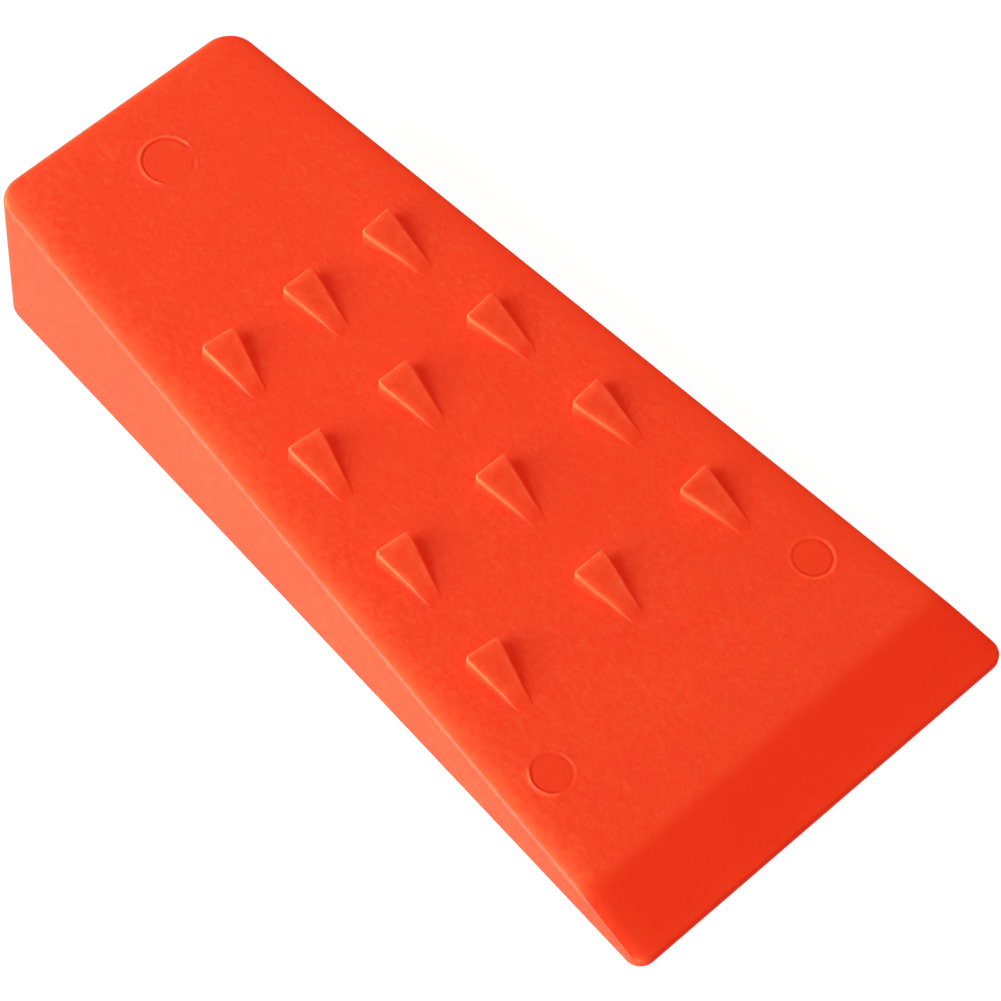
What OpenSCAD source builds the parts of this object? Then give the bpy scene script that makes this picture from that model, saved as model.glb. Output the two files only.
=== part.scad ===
// Moulded plastic felling wedge: a tapered block with a thick striking end, a bevelled tip
// and rows of ramped barbs on its upper face, which grip the wood and stop the wedge backing out.
// X runs from the striking end to the tip, Y across it, and Z up from the flat underside.

/* [Body] */
// Overall length along X
length = 139.7; // [110:0.1:180]
// Width of the underside at the striking end
head_w = 43.6; // [38:0.1:60]
// Width of the underside at the tip
tip_w = 68.8; // [62:0.1:90]
// Thickness at the striking end
head_t = 25.4; // [18:0.1:36]
// Thickness of the blunt tip
tip_t = 1.5; // [0.8:0.1:2.5]
// Angle by which both end faces lean, which sets them square to the middle of the taper
end_lean = 4; // [0:0.5:6]
// Corner radius in plan at the striking end
head_corner_r = 4.4; // [2:0.1:8]
// Corner radius in plan at the tip
tip_corner_r = 2.3; // [1.5:0.1:8]

/* [Tip bevel] */
// Length of the steeper bevel behind the tip
bevel_l = 11.3; // [6:0.1:20]
// Thickness where the bevel meets the main face
bevel_t = 4.4; // [3.5:0.1:6]

/* [Barbs] */
// Number of rows along the wedge
barb_rows = 4; // [1:1:4]
// Distance from the striking end to the first row, along X
barb_start = 39.1; // [30:0.1:50]
// Distance from row to row, along X
barb_pitch = 18.75; // [14:0.05:22]
// Length of one barb, along the face
barb_l = 9.4; // [6:0.1:12]
// Width across the top of the wide end
barb_wide_w = 5.7; // [4:0.1:8]
// Width of the narrow end, where the ramp runs out
barb_narrow_w = 2.2; // [1:0.1:3]
// Height of the wide end above the face
barb_h = 2.1; // [1:0.1:3]
// How far the foot of each flank stands out from its top edge
barb_draft = 0.3; // [0.1:0.1:0.6]
// Distance from the side edge to the middle of an outer column
barb_inset = 10.9; // [8:0.1:13]

/* [Ejector marks] */
// Diameter of the mark at the striking end
head_mark_d = 8.3; // [6:0.1:12]
// Distance of that mark from the striking end
head_mark_x = 13.2; // [10:0.1:20]
// Diameter of the two marks near the tip
tip_mark_d = 6.6; // [4:0.1:9]
// Distance of those marks from the tip
tip_mark_x = 26.2; // [20:0.1:35]
// Distance of those marks from the middle of the wedge
tip_mark_y = 24.2; // [20:0.1:26]
// Width of the raised rim round a mark
mark_rim_w = 0.4; // [0.2:0.1:0.8]
// Height of that rim above the face
mark_rim_h = 0.12; // [0.05:0.01:0.3]
// Depth of the disc inside the rim
mark_depth = 0.15; // [0.05:0.01:0.4]

/* [Hidden] */
$fn = 64;
ARC_STEPS = 8;                        // flats on each round corner
margin = 10;                          // how far cutting shapes run past the body
head_x = -length / 2;                 // lower edge of the striking face
tip_x = length / 2;                   // upper edge of the tip face
tip_foot_x = tip_x - tip_t * tan(end_lean);
head_top_x = head_x + head_t * tan(end_lean);
bevel_x = tip_x - bevel_l;
taper = atan((head_t - bevel_t) / (bevel_x - head_top_x));
bevel_angle = atan((bevel_t - tip_t) / bevel_l);
flare = atan((tip_w - head_w) / 2 / (tip_foot_x - head_x));

ROWS = [1 : barb_rows];
COLUMNS = ["right", "mid", "left"];

function barb_name(row, column) = str("barb_", row, "_", column);

// -1 for the right column, 0 for the middle one and 1 for the left one, seen from the striking end
function column_side(column) = search([column], COLUMNS)[0] - 1;

// Half the width of the underside at a distance x along the wedge
function half_w(x) = head_w / 2 + (x - head_x) * tan(flare);

// Height of the main upper face at x
function face_z(x) = bevel_t + (bevel_x - x) * tan(taper);

// Middle of a corner arc of radius r that touches an end line and a side line, at a given x
function corner_centre(x, r) = [x, half_w(x) - r / cos(flare)];

// Directions of the outward normal round the left corner of the tip. A point at 90 degrees keeps
// the full width there.
TIP_ANGLES = [for (i = [0 : ARC_STEPS]) i < ARC_STEPS ? 90 * i / (ARC_STEPS - 1) : 90 + flare];
HEAD_ANGLES = [for (i = [0 : ARC_STEPS]) 90 + flare + (90 - flare) * i / ARC_STEPS];

// Points of a round corner at the given directions of the outward normal
function corner_arc(centre, r, angles) = [for (a = angles) centre + r * [cos(a), sin(a)]];

// The mirror image of a run of points on the other side of the wedge, in the opposite order
function mirrored(points) = [for (i = [len(points) - 1 : -1 : 0]) [points[i].x, -points[i].y]];

// The outline of the underside, anticlockwise from the left end of the tip, as seen along the
// lean of the end faces, which shortens it along X
module leaning_outline() {
    head_c = corner_centre(head_x + head_corner_r, head_corner_r);
    tip_c = corner_centre(tip_foot_x - tip_corner_r, tip_corner_r);
    left_side = concat(
        corner_arc(tip_c, tip_corner_r, TIP_ANGLES),
        corner_arc(head_c, head_corner_r, HEAD_ANGLES)
    );
    outline = concat(left_side, mirrored(left_side));
    polygon([for (p = outline) [p.x * cos(end_lean), p.y]]);
}

// The outline carried straight up along the lean of the end faces
module leaning_column() {
    column_h = 2 * (head_t + length * sin(end_lean) + margin);
    rotate([0, end_lean, 0]) linear_extrude(column_h, center = true) leaning_outline();
}

// Side view of the wedge, longer than the body at both ends
module side_profile() {
    far_head_x = head_x - margin;
    far_tip_x = tip_x + tip_t / 2;
    polygon([
        [far_head_x, 0],
        [far_tip_x, 0],
        [far_tip_x, tip_t - (far_tip_x - tip_x) * tan(bevel_angle)],
        [bevel_x, bevel_t],
        [far_head_x, face_z(far_head_x)]
    ]);
}

// Puts its children on the main face at x, y, with Z square to the face
module on_face(x, y) {
    translate([x, y, face_z(x)]) rotate([0, taper, 0]) children();
}

// Places one child at each ejector mark and passes the mark's diameter in $mark_d
module at_marks() {
    let ($mark_d = head_mark_d) on_face(head_x + head_mark_x, 0) children();
    for (side = [-1, 1])
        let ($mark_d = tip_mark_d) on_face(tip_x - tip_mark_x, side * tip_mark_y) children();
}

module wedge_body() color("orangered") {
    difference() {
        union() {
            intersection() {
                leaning_column();
                rotate([90, 0, 0]) linear_extrude(tip_w + 2 * margin, center = true) side_profile();
            }
            at_marks() translate([0, 0, -mark_rim_h]) cylinder(d = $mark_d, h = 2 * mark_rim_h);
        }
        at_marks() translate([0, 0, -mark_depth])
            cylinder(d = $mark_d - 2 * mark_rim_w, h = mark_depth + 2 * mark_rim_h);
    }
}

// One barb with its wide end at the origin and its ramp running down along +X.
// The wide end stands plumb, so its top edge lies behind its foot on the sloping face.
module barb_shape() {
    top_x = -barb_h * tan(taper);
    top_y = barb_wide_w / 2;
    foot_y = top_y + barb_draft;
    end_y = barb_narrow_w / 2;
    polyhedron(
        points = [
            [0, -foot_y, 0], [0, foot_y, 0],
            [barb_l, end_y, 0], [barb_l, -end_y, 0],
            [top_x, -top_y, barb_h], [top_x, top_y, barb_h]
        ],
        faces = [[3, 2, 1, 0], [0, 1, 5, 4], [4, 5, 2, 3], [1, 2, 5], [0, 4, 3]]
    );
}

// Outer columns run parallel to the sides, and their barbs are turned to match
module barb(row, column) color("orangered") {
    side = column_side(column);
    x = head_x + barb_start + (row - 1) * barb_pitch;
    on_face(x, side * (half_w(x) - barb_inset)) rotate([0, 0, side * flare]) barb_shape();
}

wedge_body();
for (row = ROWS, column = COLUMNS)
    barb(row, column);
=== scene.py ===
"""A moulded felling wedge: one body and twelve barbs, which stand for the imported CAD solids."""

import math

import bmesh
import bpy
from mathutils import Matrix, Vector
from mathutils.geometry import delaunay_2d_cdt


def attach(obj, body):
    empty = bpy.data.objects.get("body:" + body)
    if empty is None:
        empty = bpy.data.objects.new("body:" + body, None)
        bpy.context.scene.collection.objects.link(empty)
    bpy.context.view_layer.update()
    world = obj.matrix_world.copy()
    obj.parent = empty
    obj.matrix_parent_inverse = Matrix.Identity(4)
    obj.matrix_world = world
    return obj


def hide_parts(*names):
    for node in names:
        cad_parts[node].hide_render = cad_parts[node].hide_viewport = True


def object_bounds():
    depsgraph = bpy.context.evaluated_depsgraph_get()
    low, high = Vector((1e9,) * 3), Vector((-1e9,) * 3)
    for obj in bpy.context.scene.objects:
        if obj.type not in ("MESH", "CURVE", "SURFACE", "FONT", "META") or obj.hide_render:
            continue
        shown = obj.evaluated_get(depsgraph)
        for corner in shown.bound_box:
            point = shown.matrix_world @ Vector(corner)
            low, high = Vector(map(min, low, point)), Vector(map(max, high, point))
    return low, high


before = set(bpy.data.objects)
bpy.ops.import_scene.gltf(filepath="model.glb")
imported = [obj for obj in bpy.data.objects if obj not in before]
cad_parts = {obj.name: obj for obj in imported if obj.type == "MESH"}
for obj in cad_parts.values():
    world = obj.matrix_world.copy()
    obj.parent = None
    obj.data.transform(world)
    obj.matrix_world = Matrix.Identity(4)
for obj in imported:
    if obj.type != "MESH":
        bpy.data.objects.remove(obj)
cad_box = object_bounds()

# Sizes are in millimetres and repeat the CAD source, apart from the two read from the frame's box.
# X runs from the striking end to the tip, Y across, Z up from the flat underside.
MM = 0.001
LENGTH = (cad_box[1].x - cad_box[0].x) / MM
HEAD_T = (cad_box[1].z - cad_box[0].z) / MM
HEAD_W = 43.6            # width of the underside at the striking end
TIP_W = 68.8             # width of the underside at the tip
TIP_T = 1.5
HEAD_CORNER_R = 4.4      # corners in plan
TIP_CORNER_R = 2.3
BEVEL_L = 11.3
BEVEL_T = 4.4            # thickness where the bevel meets the main face
END_LEAN = 4.0           # lean of both end faces, in degrees
LEAN = math.tan(math.radians(END_LEAN))     # how far they lean along X, per unit of height

HEAD_X = -LENGTH / 2
TIP_X = LENGTH / 2
HEAD_TOP = HEAD_T * LEAN                    # how far the striking face leans in, at its top
TIP_FOOT_X = TIP_X - TIP_T * LEAN
BEVEL_X = TIP_X - BEVEL_L
FACE_SLOPE = (HEAD_T - BEVEL_T) / (BEVEL_X - HEAD_X - HEAD_TOP)
BEVEL_SLOPE = (BEVEL_T - TIP_T) / BEVEL_L
TAPER = math.atan(FACE_SLOPE)
FLARE_SLOPE = (TIP_W - HEAD_W) / 2 / (TIP_FOOT_X - HEAD_X)
FLARE = math.atan(FLARE_SLOPE)

# Barbs
BARB_ROWS = 4
BARB_COLUMNS = {"right": -1, "mid": 0, "left": 1}
BARB_START = 39.1
BARB_PITCH = 18.75
BARB_INSET = 10.9
BARB_L = 9.4
BARB_WIDE_W = 5.7
BARB_NARROW_W = 2.2
BARB_H = 2.1
BARB_DRAFT = 0.3
BARB_FOOT_Y = BARB_WIDE_W / 2 + BARB_DRAFT
BARB_FLANK_SLOPE = (BARB_FOOT_Y - BARB_NARROW_W / 2) / BARB_L

# Ejector marks
HEAD_MARK_X = 13.2       # from the striking end
TIP_MARK_X = 26.2        # from the tip
TIP_MARK_Y = 24.2

# Edges of the body, which the CAD leaves sharp
FACE_EDGE_R = 0.55       # round edge of the main face
HEAD_EDGE_R = 1.1        # the same edge at the striking end
HEAD_EDGE_FROM = 5       # how far from that end it starts to widen
HEAD_EDGE_OVER = 3.5     # length over which it widens
TIP_EDGE_R = 0.35        # the same edge along the bevel
TIP_EDGE_FROM = 2        # how far before the bevel it starts to narrow
TIP_EDGE_OVER = 6        # length over which it narrows
BASE_EDGE_R = 0.3        # round edge of the underside
BEVEL_SOFT = 2.4         # half the length over which the face bends into the bevel

# The broad face rolls off a little towards its long edges
ROLL_OFF = 0.18          # how far it has dropped at the edge
ROLL_REACH = 1.2         # distance over which the drop fades, moving inwards

# Edges of the barbs, which the CAD leaves sharp
BARB_EDGE_R = 0.4        # round top edges of a barb
BARB_LOW_EDGE_R = 0.1    # the same edges where the ramp runs out
BARB_EDGE_SHARE = 0.7    # largest share of a barb's height that its edge takes
BARB_ROOT_R = 0.06       # hollow fillet where a barb meets the face
BARB_CORNER_R = 0.68     # corners of a barb's wide end, in plan
BARB_INNER_R = 0.02      # what is left of that radius on the innermost ring
BARB_TIP_R = 0.3         # corners of its narrow end, in plan
BARB_RUN_OUT = 1.6       # length over which the ramp eases into the face
BARB_END_CUT = 0.4       # what a barb lacks of that length at its end, which is under the face
BARB_SINK = 0.03         # how far under the face the ramp ends
BARB_ROOT = 1.2          # how deep a barb reaches into the body

# How finely the meshes are made
EDGE_STEPS = 6           # steps round an upper edge
BASE_STEPS = 4           # steps round a lower edge or a fillet
CORNER_STEPS = 12        # steps round a corner in plan
WALL_STEPS = 3           # bands up the body's side
BODY_STEP = 1.5          # spacing along the body's outline
BARB_STEP = 0.6          # spacing along a barb's outline
SUPPORT = 0.12           # narrow flat kept beside each round edge, so that the flats shade flat
SETTLE_ROUNDS = 4        # rounds that settle a point's place, which depends on its own height
LATTICE_STEP = 2.4       # spacing of the points inside the broad face and the underside
LATTICE_MARGIN = 1.6     # how far they keep from edges and marks
INNER_INSETS = (1.1, 1.6, 2.2)              # lines that follow the edge of the upper face
BEND_STEP = BEVEL_SOFT / 4                  # spacing of the lines across the bend into the bevel
BEND_LINES = 5           # lines on each side of its middle
CROSS_STEPS = 48         # steps along such a line
CROSS_INSET = 2.4        # how far it ends from the long edge of the underside
RAMP_CENTRE = 0.35       # place, along a barb, that the lines on its ramp close in on
RAMP_LINES = (0.3, 0.5, 0.68, 0.82, 0.92)   # sizes of those lines, as shares of the ramp's edge
CDT_INSIDE = 1           # makes the triangulation keep to the inside of its outline
CDT_GAP = 1e-5           # points closer than this count as one in it
WELD = 0.004             # vertices closer than this become one
NEEDLE = 0.0005          # edges shorter than this are dissolved

# Mould texture, kept on the mesh as "grain": 1 full, 0 none
GRAIN_BELOW = 0.3        # a point this far below the upper face is off it
GRAIN_BASE = 0.05        # a point up to this height is on the underside
GRAIN_EDGE = 1.6         # smooth strip along the edges, and the width over which the texture starts
GRAIN_BEVEL_FROM = 1.6   # how far before the bevel it starts to fade
GRAIN_BEVEL_OVER = 2.4
GRAIN_IN_MARK = 0.25     # share of it inside a mark
GRAIN_MARK_OVER = 0.5

# Painted light and shade on the plastic, kept on the mesh as an attribute: 0 painted shade, 0.5 plain,
# 1 the painted glow of a lit edge
TONE_PLAIN = 0.5
TONE_DEPTH = 1.2         # all is plain further than this below the upper face
TONE_FADE_FROM = 0.3     # how far below it the tone starts to fade
TONE_FADE_OVER = 0.4
GLOW_REACH = 1.55        # how far the painted glow of an edge reaches
GLOW_RISE = 0.7          # how fast it rises across the round edge itself
RIGHT_PAINTED_GLOW = 0.47        # strength of the painted glow along the right edge of the face, the side towards the lights
LEFT_PAINTED_LIGHT = -0.1         # strength along the left edge, away from the lights, where it paints shade instead of a glow
END_PAINTED_GLOW = 0.12          # strength of the painted glow along the striking end and the tip
BEVEL_PAINTED_SHADE = 0.5       # how much painted shade darkens the bevel, which tilts away from the lights
BEVEL_TONE_FROM = 1.2    # how far before the bevel that starts
BEVEL_TONE_OVER = 2.4
BARB_PAINTED_GLOW = 0.25         # strength of the painted glow round the upper edges of a barb
BARB_GLOW_REACH = 0.6
BARB_PAINTED_LIGHT = 0.08      # how much lighter painted light makes a barb than the face, though its ramp tilts away from the lights
BARB_TONE_H = 0.8        # where the ramp is this high, the painted light and shade are at full strength
BARB_LEAST_H = 0.1       # where it is lower than this, the tone rises as if it were this high

# Colours of the plastic at tones 0 (painted shade), 0.5 (plain) and 1 (painted glow)
PAINTED_SHADE_COLOUR = (0.68, 0.038, 0.008, 1)
PLAIN_COLOUR = (0.72, 0.066, 0.017, 1)
PAINTED_GLOW_COLOUR = (0.93, 0.20, 0.07, 1)
MOTTLING = ((14, 0.15), (1.0, 0.45))        # size and strength of each random drift in the plastic's colour

# Painted light: a steady red glow, which stands for red light spreading into shaded places and is the
# same whatever the lamps do
PAINTED_RED_GLOW = 0.28
PAINTED_GLOW_RED = (1.0, 0.02, 0.0, 1)

# Surface of the plastic
BODY_SCATTER = 1.6       # how far light spreads under the surface
BARB_SCATTER = 1.2
SMOOTH_ROUGHNESS = 0.36  # roughness where there is no mould texture
GRAINED_ROUGHNESS = 0.5  # roughness where it is full
SMEAR = 0.1              # most that smears add to either
SMEAR_SIZE = 3
GRAIN_SIZE = 0.8         # size of the mould texture's bumps
GRAIN_HEIGHT = 0.11      # depth scale of those bumps
NOISE_ROUGHNESS = 0.55

# Studio
KEY_COLOUR = (0.72, 1, 1)                   # weak in red, which the painted red glow adds
SKY_LOW = (0.45, 0.24, 0.22)                # near the horizon
SKY_HIGH = (0.40, 0.15, 0.13)               # overhead
GROUND_LIT = (0.8, 0.62, 0.6)               # towards the lights
GROUND_SHADED = (0.2, 0.1, 0.1)             # on the other side of the wedge
FLOOR_GREY = (0.12, 0.12, 0.12, 1)
FLOOR_GLOW = 0.97        # light of its own, for the camera only
FLOOR_HALF = 4000        # half its side
FLOOR_GAP = 0.1          # how far it lies under the wedge


def clamp(value, low=0.0, high=1.0):
    return max(low, min(high, value))


def smooth(value):
    value = clamp(value)
    return value * value * (3 - 2 * value)


def hump(off, sharpness):
    """1 where off is 0, easing to 0 on both sides of it, sooner the greater the sharpness."""
    return max(0.0, 1 - sharpness * off ** 2) ** 2


# ---------------------------------------------------------------- shape

def half_width(x):
    """Half the width of the underside at x."""
    return HEAD_W / 2 + (x - HEAD_X) * FLARE_SLOPE


def flat_face_z(x):
    """Height of the main face at x, as if it ran on past the bevel."""
    return BEVEL_T + (BEVEL_X - x) * FACE_SLOPE


def profile_z(x):
    """Height of the upper face at x, with the turn into the bevel softened."""
    bevel_z = TIP_T + (TIP_X - x) * BEVEL_SLOPE
    if abs(x - BEVEL_X) < BEVEL_SOFT:
        past = x - BEVEL_X + BEVEL_SOFT
        return flat_face_z(x) - (BEVEL_SLOPE - FACE_SLOPE) * past * past / (4 * BEVEL_SOFT)
    return min(flat_face_z(x), bevel_z)


class Mark:
    """An ejector mark: a disc inside a fine rim, which stands up along some arcs of the circle.

    The rim has its crest where the CAD has the middle of its rim, and is wider and softer.
    Places across it are in rim widths from the crest, outwards.
    """

    RIM_W = 0.7
    RIM_FOOT = 0.5           # outer foot of the rim; the disc starts as far inside the crest
    RIM_SHARPNESS = 4
    # Painted highlight on the rim, painted shade in the groove and on the disc
    RIM_PAINTED_HIGHLIGHT = 0.32
    GROOVE = -0.6            # the groove inside the rim
    GROOVE_SHARPNESS = 6
    GROOVE_DEPTH = 0.6       # share of the rim's height
    GROOVE_PAINTED_SHADE = 0.45
    DISC_PAINTED_SHADE = 2.0        # painted shade on the disc, for each millimetre that it lies deeper than the face
    FADE = 14                # degrees over which the end of an arc dies away
    STEPS = 72
    RINGS = (1.1, 0.5, 0.3, 0.15, 0, -0.15, -0.3, -0.45, -0.6, -0.75, -0.9, -1.05, -1.25, -2.0)

    def __init__(self, x, y, diameter, rim, depth, arcs):
        self.centre = Vector((x, y))
        self.crest = diameter / 2 - self.RIM_W / 2
        self.rim = rim       # height of the rim
        self.depth = depth   # depth of the disc
        self.arcs = arcs     # (first degree, last degree, share of the rim's height)

    def share(self, across, along):
        """Share of the rim's height in the direction of a point."""
        turn = math.degrees(math.atan2(along, across))
        best = 0.0
        for first, last, share in self.arcs:
            away = abs((turn - (first + last) / 2 + 180) % 360 - 180)
            best = max(best, share * smooth(((last - first) / 2 - away) / self.FADE + 0.5))
        return best

    def parts(self, x, y):
        """How much of the rim, the groove and the disc a point at x, y belongs to, each from 0 to 1."""
        across = (x - self.centre.x) / math.cos(TAPER)
        along = y - self.centre.y
        off = (math.hypot(across, along) - self.crest) / self.RIM_W
        if off > self.RIM_FOOT:
            return 0.0, 0.0, 0.0
        share = self.share(across, along)
        rim = hump(off, self.RIM_SHARPNESS)
        groove = hump(off - self.GROOVE, self.GROOVE_SHARPNESS)
        return share * rim, share * groove, smooth(self.RIM_FOOT - off)

    def relief(self, x, y):
        """How far the surface stands above the plain face at x, y."""
        rim, groove, disc = self.parts(x, y)
        return self.rim * (rim - self.GROOVE_DEPTH * groove) - self.depth * disc

    def tone(self, x, y):
        """Painted light at x, y: a painted highlight on the rim, painted shade in the groove and a
        little painted shade on the disc.
        """
        rim, groove, disc = self.parts(x, y)
        edge = self.RIM_PAINTED_HIGHLIGHT * rim - self.GROOVE_PAINTED_SHADE * groove
        return edge - self.DISC_PAINTED_SHADE * self.depth * disc

    def rings(self):
        """Closed lines that the mesh follows, from outside the rim to inside it."""
        return [self.ring(self.crest + self.RIM_W * place) for place in self.RINGS]

    def ring(self, radius):
        turns = [2 * math.pi * i / self.STEPS for i in range(self.STEPS)]
        return [
            self.centre + Vector((radius * math.cos(TAPER) * math.cos(t), radius * math.sin(t)))
            for t in turns
        ]


MARKS = [
    Mark(
        HEAD_X + HEAD_MARK_X, 0.0, diameter=8.6, rim=0.16, depth=0.01,
        arcs=[(90, 306, 1.0), (30, 50, 0.5), (0, 360, 0.08)],
    ),
    Mark(
        TIP_X - TIP_MARK_X, TIP_MARK_Y, diameter=6.9, rim=0.1, depth=0.06,
        arcs=[(-80, 110, 1.0), (0, 360, 0.55)],
    ),
    Mark(
        TIP_X - TIP_MARK_X, -TIP_MARK_Y, diameter=6.9, rim=0.2, depth=0.06,
        arcs=[(220, 335, 1.0), (75, 120, 0.5), (0, 360, 0.25)],
    ),
]


def side_distance(x, y):
    """Distance from a point on the upper face to the nearer long edge."""
    return (half_width(x - profile_z(x) * LEAN) - abs(y)) * math.cos(FLARE)


def end_distance(x):
    """Distance along X from a point on the upper face to the nearer end."""
    return min(x - HEAD_X - HEAD_TOP, TIP_X - x)


def inside_edge(x, y):
    """Rough distance from a point on the upper face to the nearest edge of the body."""
    return min(side_distance(x, y), end_distance(x))


def upper_z(x, y):
    """Height of the finished upper face."""
    roll_off = ROLL_OFF * math.exp(-side_distance(x, y) / ROLL_REACH)
    return profile_z(x) - roll_off + sum(mark.relief(x, y) for mark in MARKS)


def face_edge_radius(x):
    """Radius of the upper edge at x: largest at the striking end, smallest along the bevel."""
    at_head = smooth((HEAD_X + HEAD_EDGE_FROM - x) / HEAD_EDGE_OVER)
    at_bevel = smooth((x - BEVEL_X + TIP_EDGE_FROM) / TIP_EDGE_OVER)
    return FACE_EDGE_R + (HEAD_EDGE_R - FACE_EDGE_R) * at_head + (TIP_EDGE_R - FACE_EDGE_R) * at_bevel


def rounded_outline(corners, step):
    """A closed outline, anticlockwise, as (point, outward normal) pairs.

    corners holds (centre, radius, first angle, last angle) for each round corner, in degrees.
    """
    outline = []
    for i, (centre, radius, first, last) in enumerate(corners):
        for k in range(CORNER_STEPS + 1):
            angle = math.radians(first + (last - first) * k / CORNER_STEPS)
            normal = Vector((math.cos(angle), math.sin(angle)))
            outline.append((Vector(centre) + radius * normal, normal))
        next_centre, next_radius, next_first, _ = corners[(i + 1) % len(corners)]
        angle = math.radians(next_first)
        goal = Vector(next_centre) + next_radius * Vector((math.cos(angle), math.sin(angle)))
        start, normal = outline[-1]
        pieces = max(1, round((goal - start).length / step))
        for k in range(1, pieces):
            outline.append((start.lerp(goal, k / pieces), normal))
    return outline


def body_outline():
    """The underside of the body."""
    turn = math.degrees(FLARE)
    head = Vector((HEAD_X + HEAD_CORNER_R, 0))
    head.y = half_width(head.x) - HEAD_CORNER_R / math.cos(FLARE)
    tip = Vector((TIP_FOOT_X - TIP_CORNER_R, 0))
    tip.y = half_width(tip.x) - TIP_CORNER_R / math.cos(FLARE)
    return rounded_outline([
        (tip, TIP_CORNER_R, 0, 90 + turn),
        (head, HEAD_CORNER_R, 90 + turn, 180),
        ((head.x, -head.y), HEAD_CORNER_R, 180, 270 - turn),
        ((tip.x, -tip.y), TIP_CORNER_R, 270 - turn, 360),
    ], BODY_STEP)


def quarter(steps):
    """Angles from 0 to a right angle."""
    return [math.pi / 2 * i / steps for i in range(steps + 1)]


def top_edge(inset, radius, top):
    """(inset, height) pairs round an upper edge, from the wall at the given inset to the top."""
    return [
        (inset + radius * (1 - math.cos(a)), top - radius * (1 - math.sin(a)))
        for a in quarter(EDGE_STEPS)
    ]


def body_section(top, x, normal):
    """(inset, height) pairs up the edge of the body, from the underside to the upper face."""
    edge_r = face_edge_radius(x)
    base = [
        (BASE_EDGE_R * (1 - math.sin(a)), BASE_EDGE_R * (1 - math.cos(a)))
        for a in quarter(BASE_STEPS)
    ]
    low = BASE_EDGE_R + SUPPORT
    high = top - edge_r - SUPPORT
    wall = [(0.0, low + (high - low) * k / WALL_STEPS) for k in range(WALL_STEPS + 1)]
    return [(low, 0.0)] + base + wall + top_edge(0.0, edge_r, top) + [(edge_r + SUPPORT, top)]


def barb_half_width(x):
    """Half the width of a barb's foot, in its own frame."""
    return BARB_FOOT_Y - x * BARB_FLANK_SLOPE


def barb_outline():
    """The foot of a barb round its own origin, wide end at X = 0 and narrow end just under the face."""
    turn = math.atan(BARB_FLANK_SLOPE)
    tip_x = BARB_L + BARB_RUN_OUT - BARB_END_CUT - BARB_TIP_R
    tip_y = barb_half_width(tip_x) - BARB_TIP_R / math.cos(turn)
    wide_y = barb_half_width(BARB_CORNER_R) - BARB_CORNER_R / math.cos(turn)
    turn = math.degrees(turn)
    return rounded_outline([
        ((tip_x, tip_y), BARB_TIP_R, 0, 90 - turn),
        ((BARB_CORNER_R, wide_y), BARB_CORNER_R, 90 - turn, 180),
        ((BARB_CORNER_R, -wide_y), BARB_CORNER_R, 180, 270 + turn),
        ((tip_x, -tip_y), BARB_TIP_R, 270 + turn, 360),
    ], BARB_STEP)


def barb_ramp_z(x, y):
    """Height of a barb's ramp above the face, in its own frame, easing into the face at its end."""
    slope = BARB_H / (BARB_L + BARB_H * FACE_SLOPE)
    low_z = slope * BARB_RUN_OUT / 2 - BARB_SINK
    past = x - (BARB_L - low_z / slope)
    if past < 0:
        return slope * (BARB_L - x)
    return low_z - slope * past + slope * past * past / (2 * BARB_RUN_OUT)


def barb_section(top, x, normal):
    """(inset, height) pairs up a barb: hidden root, hollow fillet, drafted flank, round edge."""
    draft = BARB_DRAFT / BARB_H * abs(normal.y)      # the ends stand plumb
    edge_r = clamp(BARB_EDGE_SHARE * top, BARB_LOW_EDGE_R, BARB_EDGE_R)
    root = BARB_ROOT_R * clamp((top - edge_r) / (2 * BARB_ROOT_R))
    foot = min(0.0, top - edge_r)
    fillet = [
        (root * (math.sin(a) - 1), foot + root * (1 - math.cos(a)))
        for a in quarter(BASE_STEPS)
    ]
    shoulder = max(foot + root, top - edge_r)
    lean_in = draft * max(0.0, shoulder)
    innermost = min(lean_in + edge_r + SUPPORT, BARB_CORNER_R - BARB_INNER_R)
    return [(-root, -BARB_ROOT)] + fillet + top_edge(lean_in, edge_r, top) + [(innermost, top)]


def edge_rings(outline, section, top, lean):
    """The rings of points up the outside of a moulding, each as long as the outline."""
    rings = [[] for _ in section(1.0, 0.0, Vector((1, 0)))]
    for point, normal in outline:
        for k, ring in enumerate(rings):
            x, y = point
            for _ in range(SETTLE_ROUNDS):
                inset, z = section(top(x, y), x, normal)[k]
                x = point.x - normal.x * inset + z * lean
                y = point.y - normal.y * inset
            ring.append(Vector((x, y, z)))
    return rings


def cap(bm, loop, height, lines=(), points=()):
    """Closes a ring of vertices with triangles that follow inner lines, at the given height."""
    flat = [v.co.xy for v in loop]
    edges = [(i, (i + 1) % len(loop)) for i in range(len(loop))]
    for line, closed in lines:
        first = len(flat)
        flat += line
        edges += [(first + i, first + i + 1) for i in range(len(line) - 1)]
        if closed:
            edges.append((first + len(line) - 1, first))
    flat += points
    made, _, faces, origins, _, _ = delaunay_2d_cdt(flat, edges, [], CDT_INSIDE, CDT_GAP)
    verts = []
    for co, origin in zip(made, origins):
        own = [i for i in origin if i < len(loop)]
        verts.append(loop[own[0]] if own else bm.verts.new((co.x, co.y, height(co.x, co.y))))
    for face in faces:
        corners = [verts[i] for i in face]
        if len(set(corners)) == 3:
            bm.faces.new(corners)


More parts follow.
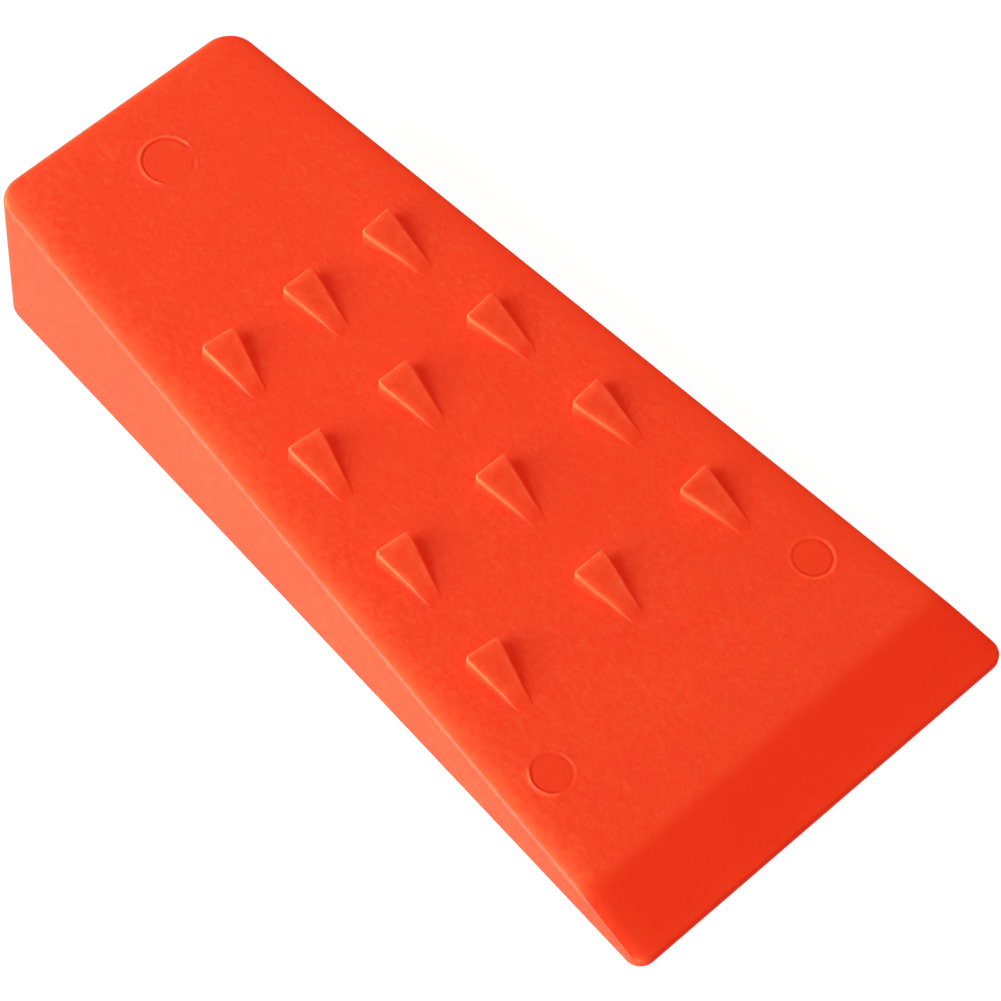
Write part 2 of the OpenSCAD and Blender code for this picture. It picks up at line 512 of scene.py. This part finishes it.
def block(outline, section, top, lean, lines=(), points=(), low_points=()):
    """A closed moulding as a bmesh: rings up its edge, an underside and an upper face."""
    bm = bmesh.new()
    rings = [[bm.verts.new(p) for p in ring] for ring in edge_rings(outline, section, top, lean)]
    count = len(outline)
    for lower, upper in zip(rings, rings[1:]):
        for i in range(count):
            j = (i + 1) % count
            bm.faces.new((lower[i], lower[j], upper[j], upper[i]))
    base_z = rings[0][0].co.z
    cap(bm, rings[0], lambda x, y: base_z, points=low_points)
    cap(bm, rings[-1], top, lines, points)
    bmesh.ops.remove_doubles(bm, verts=bm.verts, dist=WELD)
    bmesh.ops.dissolve_degenerate(bm, edges=bm.edges, dist=NEEDLE)
    bmesh.ops.recalc_face_normals(bm, faces=bm.faces)
    return bm


def fill_points():
    """An even lattice of points on the face, clear of its edge, the marks and the bend."""
    bend = BEND_LINES * BEND_STEP + LATTICE_MARGIN / 2
    found = []
    for i in range(int(LENGTH / LATTICE_STEP)):
        for j in range(int(TIP_W / LATTICE_STEP)):
            x = HEAD_X + (i + 0.5) * LATTICE_STEP
            y = -TIP_W / 2 + (j + 0.5) * LATTICE_STEP
            point = Vector((x, y))
            clear = all((point - m.centre).length > m.crest + LATTICE_MARGIN for m in MARKS)
            clear = clear and abs(x - BEVEL_X) > bend
            if clear and inside_edge(x, y) > LATTICE_MARGIN + FACE_EDGE_R:
                found.append(point)
    return found


def inner_outline(inset):
    """The upper face's outline, pulled in by inset, for a line that the mesh follows."""
    def section(top, x, normal):
        return [(inset, top)]
    ring = edge_rings(body_outline(), section, upper_z, LEAN)[0]
    return [p.xy for p in ring]


def cross_line(x):
    """A line across the upper face at x, for the mesh to follow."""
    half = half_width(x) - CROSS_INSET
    return [Vector((x, half * (2 * i / CROSS_STEPS - 1))) for i in range(CROSS_STEPS + 1)]


def face_lines():
    """Lines that the mesh of the upper face follows, and whether each is closed."""
    lines = [(ring, True) for mark in MARKS for ring in mark.rings()]
    lines += [(inner_outline(inset), True) for inset in INNER_INSETS]
    bends = [BEVEL_X + BEND_STEP * k for k in range(-BEND_LINES, BEND_LINES + 1)]
    return lines + [(cross_line(x), False) for x in bends]


def ramp_lines():
    """Closed lines inside a barb's ramp, each a smaller copy of its edge."""
    edge = edge_rings(barb_outline(), barb_section, barb_ramp_z, -FACE_SLOPE)[-1]
    centre = Vector((RAMP_CENTRE * BARB_L, 0))
    return [([centre.lerp(p.xy, share) for p in edge], True) for share in RAMP_LINES]


# ---------------------------------------------------------------- grain and tone on the mesh

def grain_at(x, y, z):
    """How strongly the mould's texture shows: full on the broad face, none at edges and bevel."""
    if z < profile_z(x) - GRAIN_BELOW and z > GRAIN_BASE:
        return 0.0
    rim = smooth((inside_edge(x, y) - GRAIN_EDGE) / GRAIN_EDGE)
    bevel = 1 - smooth((x - BEVEL_X + GRAIN_BEVEL_FROM) / GRAIN_BEVEL_OVER)
    clear = 1.0
    for mark in MARKS:
        outside = smooth(((Vector((x, y)) - mark.centre).length - mark.crest) / GRAIN_MARK_OVER)
        clear *= GRAIN_IN_MARK + (1 - GRAIN_IN_MARK) * outside
    return rim * bevel * clear


def edge_glow(distance, edge_r, reach):
    """The painted glow at a distance from an edge: 1 as far as its round part, and fading from there.
    """
    return math.exp(-max(0.0, distance - edge_r) / reach)


def painted_light_at(x, y, z):
    """Painted light on the body: a painted glow along the edges of the face, painted shade along the
    left edge, on the bevel and in the marks, and a painted highlight on the marks' rims.
    """
    below = profile_z(x) - z
    if below > TONE_DEPTH:
        return TONE_PLAIN
    on_face = 1 - smooth((below - TONE_FADE_FROM) / TONE_FADE_OVER)
    inside = side_distance(x, y)
    glow = (RIGHT_PAINTED_GLOW if y < 0 else LEFT_PAINTED_LIGHT) * edge_glow(inside, FACE_EDGE_R, GLOW_REACH)
    glow *= smooth(GLOW_RISE * inside / FACE_EDGE_R)
    glow += END_PAINTED_GLOW * edge_glow(end_distance(x), FACE_EDGE_R, GLOW_REACH)
    # painted shade on the bevel
    bevel = smooth((x - BEVEL_X + BEVEL_TONE_FROM) / BEVEL_TONE_OVER)
    marks = sum(mark.tone(x, y) for mark in MARKS)
    return clamp(TONE_PLAIN + on_face * (glow - BEVEL_PAINTED_SHADE * bevel * (1 - glow)) + marks)


def barb_painted_light_at(x, y, z):
    """Painted light on a barb in its own frame: painted shade at the foot, a painted glow round its
    upper edges, and painted light that makes it lighter than the face.
    """
    top = max(barb_ramp_z(x, y), BARB_LEAST_H)
    inside = min(barb_half_width(x) - abs(y), x)
    glow = edge_glow(inside, BARB_EDGE_R, BARB_GLOW_REACH)
    # Painted shade, full at the foot of the barb and gone at its top
    depth = 1 - smooth(z / top)
    raised = smooth(top / BARB_TONE_H)
    return clamp(TONE_PLAIN + raised * (BARB_PAINTED_LIGHT + BARB_PAINTED_GLOW * glow * (1 - depth) - depth))


# ---------------------------------------------------------------- pieces

def finish_mesh(bm, name, matrix=Matrix.Identity(4)):
    """Turns a bmesh in millimetres into an object in metres, moved by the matrix."""
    mesh = bpy.data.meshes.new(name)
    bm.to_mesh(mesh)
    bm.free()
    mesh.transform(Matrix.Scale(MM, 4) @ matrix)
    mesh.shade_smooth()
    piece = bpy.data.objects.new(name, mesh)
    bpy.context.scene.collection.objects.link(piece)
    return piece


def make_body():
    points = fill_points()
    bm = block(body_outline(), body_section, upper_z, LEAN, face_lines(), points, points)
    grain = bm.verts.layers.float.new("grain")
    tone = bm.verts.layers.float.new("tone")
    for v in bm.verts:
        v[grain] = grain_at(*v.co)
        v[tone] = painted_light_at(*v.co)
    return finish_mesh(bm, "wedge_moulding")


def make_barb(row, column):
    """A barb at its place. It has no grain layer, which reads as 0, so its surface is smooth."""
    side = BARB_COLUMNS[column]
    x = HEAD_X + BARB_START + (row - 1) * BARB_PITCH
    y = side * (half_width(x) - BARB_INSET)
    place = (
        Matrix.Translation((x, y, flat_face_z(x)))
        @ Matrix.Rotation(TAPER, 4, "Y")
        @ Matrix.Rotation(side * FLARE, 4, "Z")
    )
    bm = block(barb_outline(), barb_section, barb_ramp_z, -FACE_SLOPE, ramp_lines())
    tone = bm.verts.layers.float.new("tone")
    for v in bm.verts:
        v[tone] = barb_painted_light_at(v.co.x + v.co.z * FACE_SLOPE, v.co.y, v.co.z)
    return finish_mesh(bm, f"barb_moulding_{row}_{column}", place)


# ---------------------------------------------------------------- material

def node(tree, kind, **settings):
    """A node with the given values on its input sockets, or on itself where it has no such socket."""
    made = tree.nodes.new(kind)
    for name, value in settings.items():
        if name in made.inputs:
            made.inputs[name].default_value = value
        else:
            setattr(made, name, value)
    return made


def arithmetic(tree, operation, *values):
    """The result of a maths node on numbers and other nodes' outputs."""
    made = node(tree, "ShaderNodeMath", operation=operation)
    for socket, value in zip(made.inputs, values):
        if isinstance(value, float):
            socket.default_value = value
        else:
            tree.links.new(value, socket)
    return made.outputs["Value"]


def noise(tree, coords, size, detail=2.0):
    """Noise whose features are about size across."""
    scale = 1 / (size * MM)
    made = node(
        tree, "ShaderNodeTexNoise", Scale=scale, Detail=detail, Roughness=NOISE_ROUGHNESS,
    )
    tree.links.new(coords, made.inputs["Vector"])
    return made.outputs["Fac"]


def centred_noise(tree, coords, size):
    """Finer-grained noise, which averages 0."""
    return arithmetic(tree, "SUBTRACT", noise(tree, coords, size, detail=3), 0.5)


def moulded_plastic(name, scatter):
    """Orange-red polypropylene: mould texture where the mesh's grain says, colour from the painted
    light and shade kept on the mesh, mottled at random.

    scatter is how far light spreads under the surface.
    """
    material = bpy.data.materials.new(name)
    material.use_nodes = True
    tree = material.node_tree
    link = tree.links.new
    shader = tree.nodes["Principled BSDF"]
    shader.inputs["IOR"].default_value = 1.45
    shader.inputs["Specular IOR Level"].default_value = 0.32
    shader.inputs["Subsurface Weight"].default_value = 1.0
    shader.inputs["Subsurface Radius"].default_value = (1.0, 1.0, 0.8)
    shader.inputs["Subsurface Scale"].default_value = scatter * MM
    # Painted light: the steady red glow
    shader.inputs["Emission Color"].default_value = PAINTED_GLOW_RED
    shader.inputs["Emission Strength"].default_value = PAINTED_RED_GLOW

    coords = tree.nodes.new("ShaderNodeTexCoord").outputs["Object"]
    grain = node(tree, "ShaderNodeAttribute", attribute_name="grain").outputs["Fac"]
    tone = node(tree, "ShaderNodeAttribute", attribute_name="tone").outputs["Fac"]

    shade = tone
    for size, strength in MOTTLING:
        drift = centred_noise(tree, coords, size)
        shade = arithmetic(tree, "MULTIPLY_ADD", drift, strength, shade)
    colour = tree.nodes.new("ShaderNodeValToRGB")
    ramp = colour.color_ramp
    ramp.elements[0].color = PAINTED_SHADE_COLOUR
    ramp.elements[1].color = PAINTED_GLOW_COLOUR
    ramp.elements.new(TONE_PLAIN).color = PLAIN_COLOUR
    link(shade, colour.inputs["Fac"])
    link(colour.outputs["Color"], shader.inputs["Base Color"])

    rough = node(tree, "ShaderNodeMapRange")
    rough.inputs["To Min"].default_value = SMOOTH_ROUGHNESS
    rough.inputs["To Max"].default_value = GRAINED_ROUGHNESS
    link(grain, rough.inputs["Value"])
    smears = noise(tree, coords, SMEAR_SIZE)
    smeared = arithmetic(tree, "MULTIPLY_ADD", smears, SMEAR, rough.outputs["Result"])
    link(smeared, shader.inputs["Roughness"])

    relief = arithmetic(tree, "MULTIPLY", centred_noise(tree, coords, GRAIN_SIZE), grain)
    bump = node(tree, "ShaderNodeBump", Strength=1.0, Distance=GRAIN_HEIGHT * MM)
    link(relief, bump.inputs["Height"])
    link(bump.outputs["Normal"], shader.inputs["Normal"])
    return material


# ---------------------------------------------------------------- studio

def add_camera():
    """The camera looks down on the wedge from beyond its tip, with a slight roll."""
    target = Vector((9.54, -0.61, 10.0)) * MM
    distance = 594.29 * MM
    down = math.radians(54.373)
    heading = math.radians(137.026)
    roll = math.radians(-1.138)
    forward = Vector((
        math.cos(down) * math.cos(heading),
        math.cos(down) * math.sin(heading),
        -math.sin(down),
    ))
    level = forward.cross(Vector((0, 0, 1))).normalized()
    right = math.cos(roll) * level + math.sin(roll) * level.cross(forward)
    up = right.cross(forward)
    data = bpy.data.cameras.new("camera")
    data.lens = 160.157
    data.sensor_width = 36
    data.clip_start = 0.01
    camera = bpy.data.objects.new("camera", data)
    camera.matrix_world = Matrix((
        (right.x, up.x, -forward.x, target.x - distance * forward.x),
        (right.y, up.y, -forward.y, target.y - distance * forward.y),
        (right.z, up.z, -forward.z, target.z - distance * forward.z),
        (0, 0, 0, 1),
    ))
    bpy.context.scene.collection.objects.link(camera)
    bpy.context.scene.camera = camera


def add_area_light(name, azimuth, elevation, distance, size, power, colour=(1, 1, 1)):
    """A soft disc of light that faces the wedge.

    Its direction is in degrees, the azimuth from +X towards +Y. distance and size are in metres and
    power in watts.
    """
    data = bpy.data.lights.new(name, "AREA")
    data.shape = "DISK"
    data.size = size
    data.energy = power
    data.color = colour
    a = math.radians(azimuth)
    e = math.radians(elevation)
    away = Vector((math.cos(e) * math.cos(a), math.cos(e) * math.sin(a), math.sin(e)))
    light = bpy.data.objects.new(name, data)
    light.location = away * distance
    light.rotation_euler = away.to_track_quat("Z", "Y").to_euler()
    bpy.context.scene.collection.objects.link(light)


def blend(tree, value, first, second, low, high):
    """A colour that runs from the first to the second as the value runs from low to high."""
    share = node(tree, "ShaderNodeMapRange")
    share.inputs["From Min"].default_value = low
    share.inputs["From Max"].default_value = high
    tree.links.new(value, share.inputs["Value"])
    mix = node(tree, "ShaderNodeMixRGB")
    tree.links.new(share.outputs["Result"], mix.inputs["Fac"])
    for name, colour in (("Color1", first), ("Color2", second)):
        if isinstance(colour, tuple):
            mix.inputs[name].default_value = (*colour, 1)
        else:
            tree.links.new(colour, mix.inputs[name])
    return mix.outputs["Color"]


def add_world():
    """A dim studio. Below the horizon it stands in for the floor, which is brightest towards the
    lights and lies in shade on the other side of the wedge."""
    world = bpy.data.worlds.new("studio")
    world.use_nodes = True
    bpy.context.scene.world = world
    tree = world.node_tree
    split = tree.nodes.new("ShaderNodeSeparateXYZ")
    coords = tree.nodes.new("ShaderNodeTexCoord").outputs["Generated"]
    tree.links.new(coords, split.inputs["Vector"])
    above = blend(tree, split.outputs["Z"], SKY_LOW, SKY_HIGH, low=0.1, high=0.6)
    below = blend(tree, split.outputs["Y"], GROUND_LIT, GROUND_SHADED, low=-0.3, high=0.3)
    colour = blend(tree, split.outputs["Z"], below, above, low=-0.1, high=0.05)
    tree.links.new(colour, tree.nodes["Background"].inputs["Color"])


def add_floor():
    """A plain pale surface, bright enough that shadows on it stay faint. It throws no light on the
    wedge: the lower half of the world does that, more dimly."""
    material = bpy.data.materials.new("floor_pale")
    material.use_nodes = True
    shader = material.node_tree.nodes["Principled BSDF"]
    shader.inputs["Base Color"].default_value = FLOOR_GREY
    shader.inputs["Roughness"].default_value = 1.0
    shader.inputs["Specular IOR Level"].default_value = 0.0
    shader.inputs["Emission Color"].default_value = (1, 1, 1, 1)
    shader.inputs["Emission Strength"].default_value = FLOOR_GLOW
    bm = bmesh.new()
    bmesh.ops.create_grid(bm, x_segments=2, y_segments=2, size=FLOOR_HALF)
    floor = finish_mesh(bm, "floor", Matrix.Translation((0, 0, -FLOOR_GAP)))
    floor.data.materials.append(material)
    floor.visible_diffuse = False
    floor.visible_glossy = False
    floor.visible_shadow = False


# ---------------------------------------------------------------- scene

def declare(piece, cad_node, material):
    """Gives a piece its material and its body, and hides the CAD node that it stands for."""
    piece.data.materials.append(material)
    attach(piece, "root")
    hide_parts(cad_node)


add_camera()
add_world()
add_area_light(
    "key", azimuth=253, elevation=29, distance=1.3, size=1.1, power=26, colour=KEY_COLOUR,
)
add_area_light("fill", azimuth=256, elevation=6, distance=1.3, size=0.9, power=9.5)
add_area_light("head_fill", azimuth=180, elevation=45, distance=0.35, size=0.3, power=0.1)
add_floor()

plastic = moulded_plastic("wedge_plastic", BODY_SCATTER)
barb_plastic = moulded_plastic("barb_plastic", BARB_SCATTER)
declare(make_body(), "wedge_body", plastic)
for row in range(1, BARB_ROWS + 1):
    for column in BARB_COLUMNS:
        declare(make_barb(row, column), f"barb_{row}_{column}", barb_plastic)

bpy.context.scene.view_settings.view_transform = "Standard"
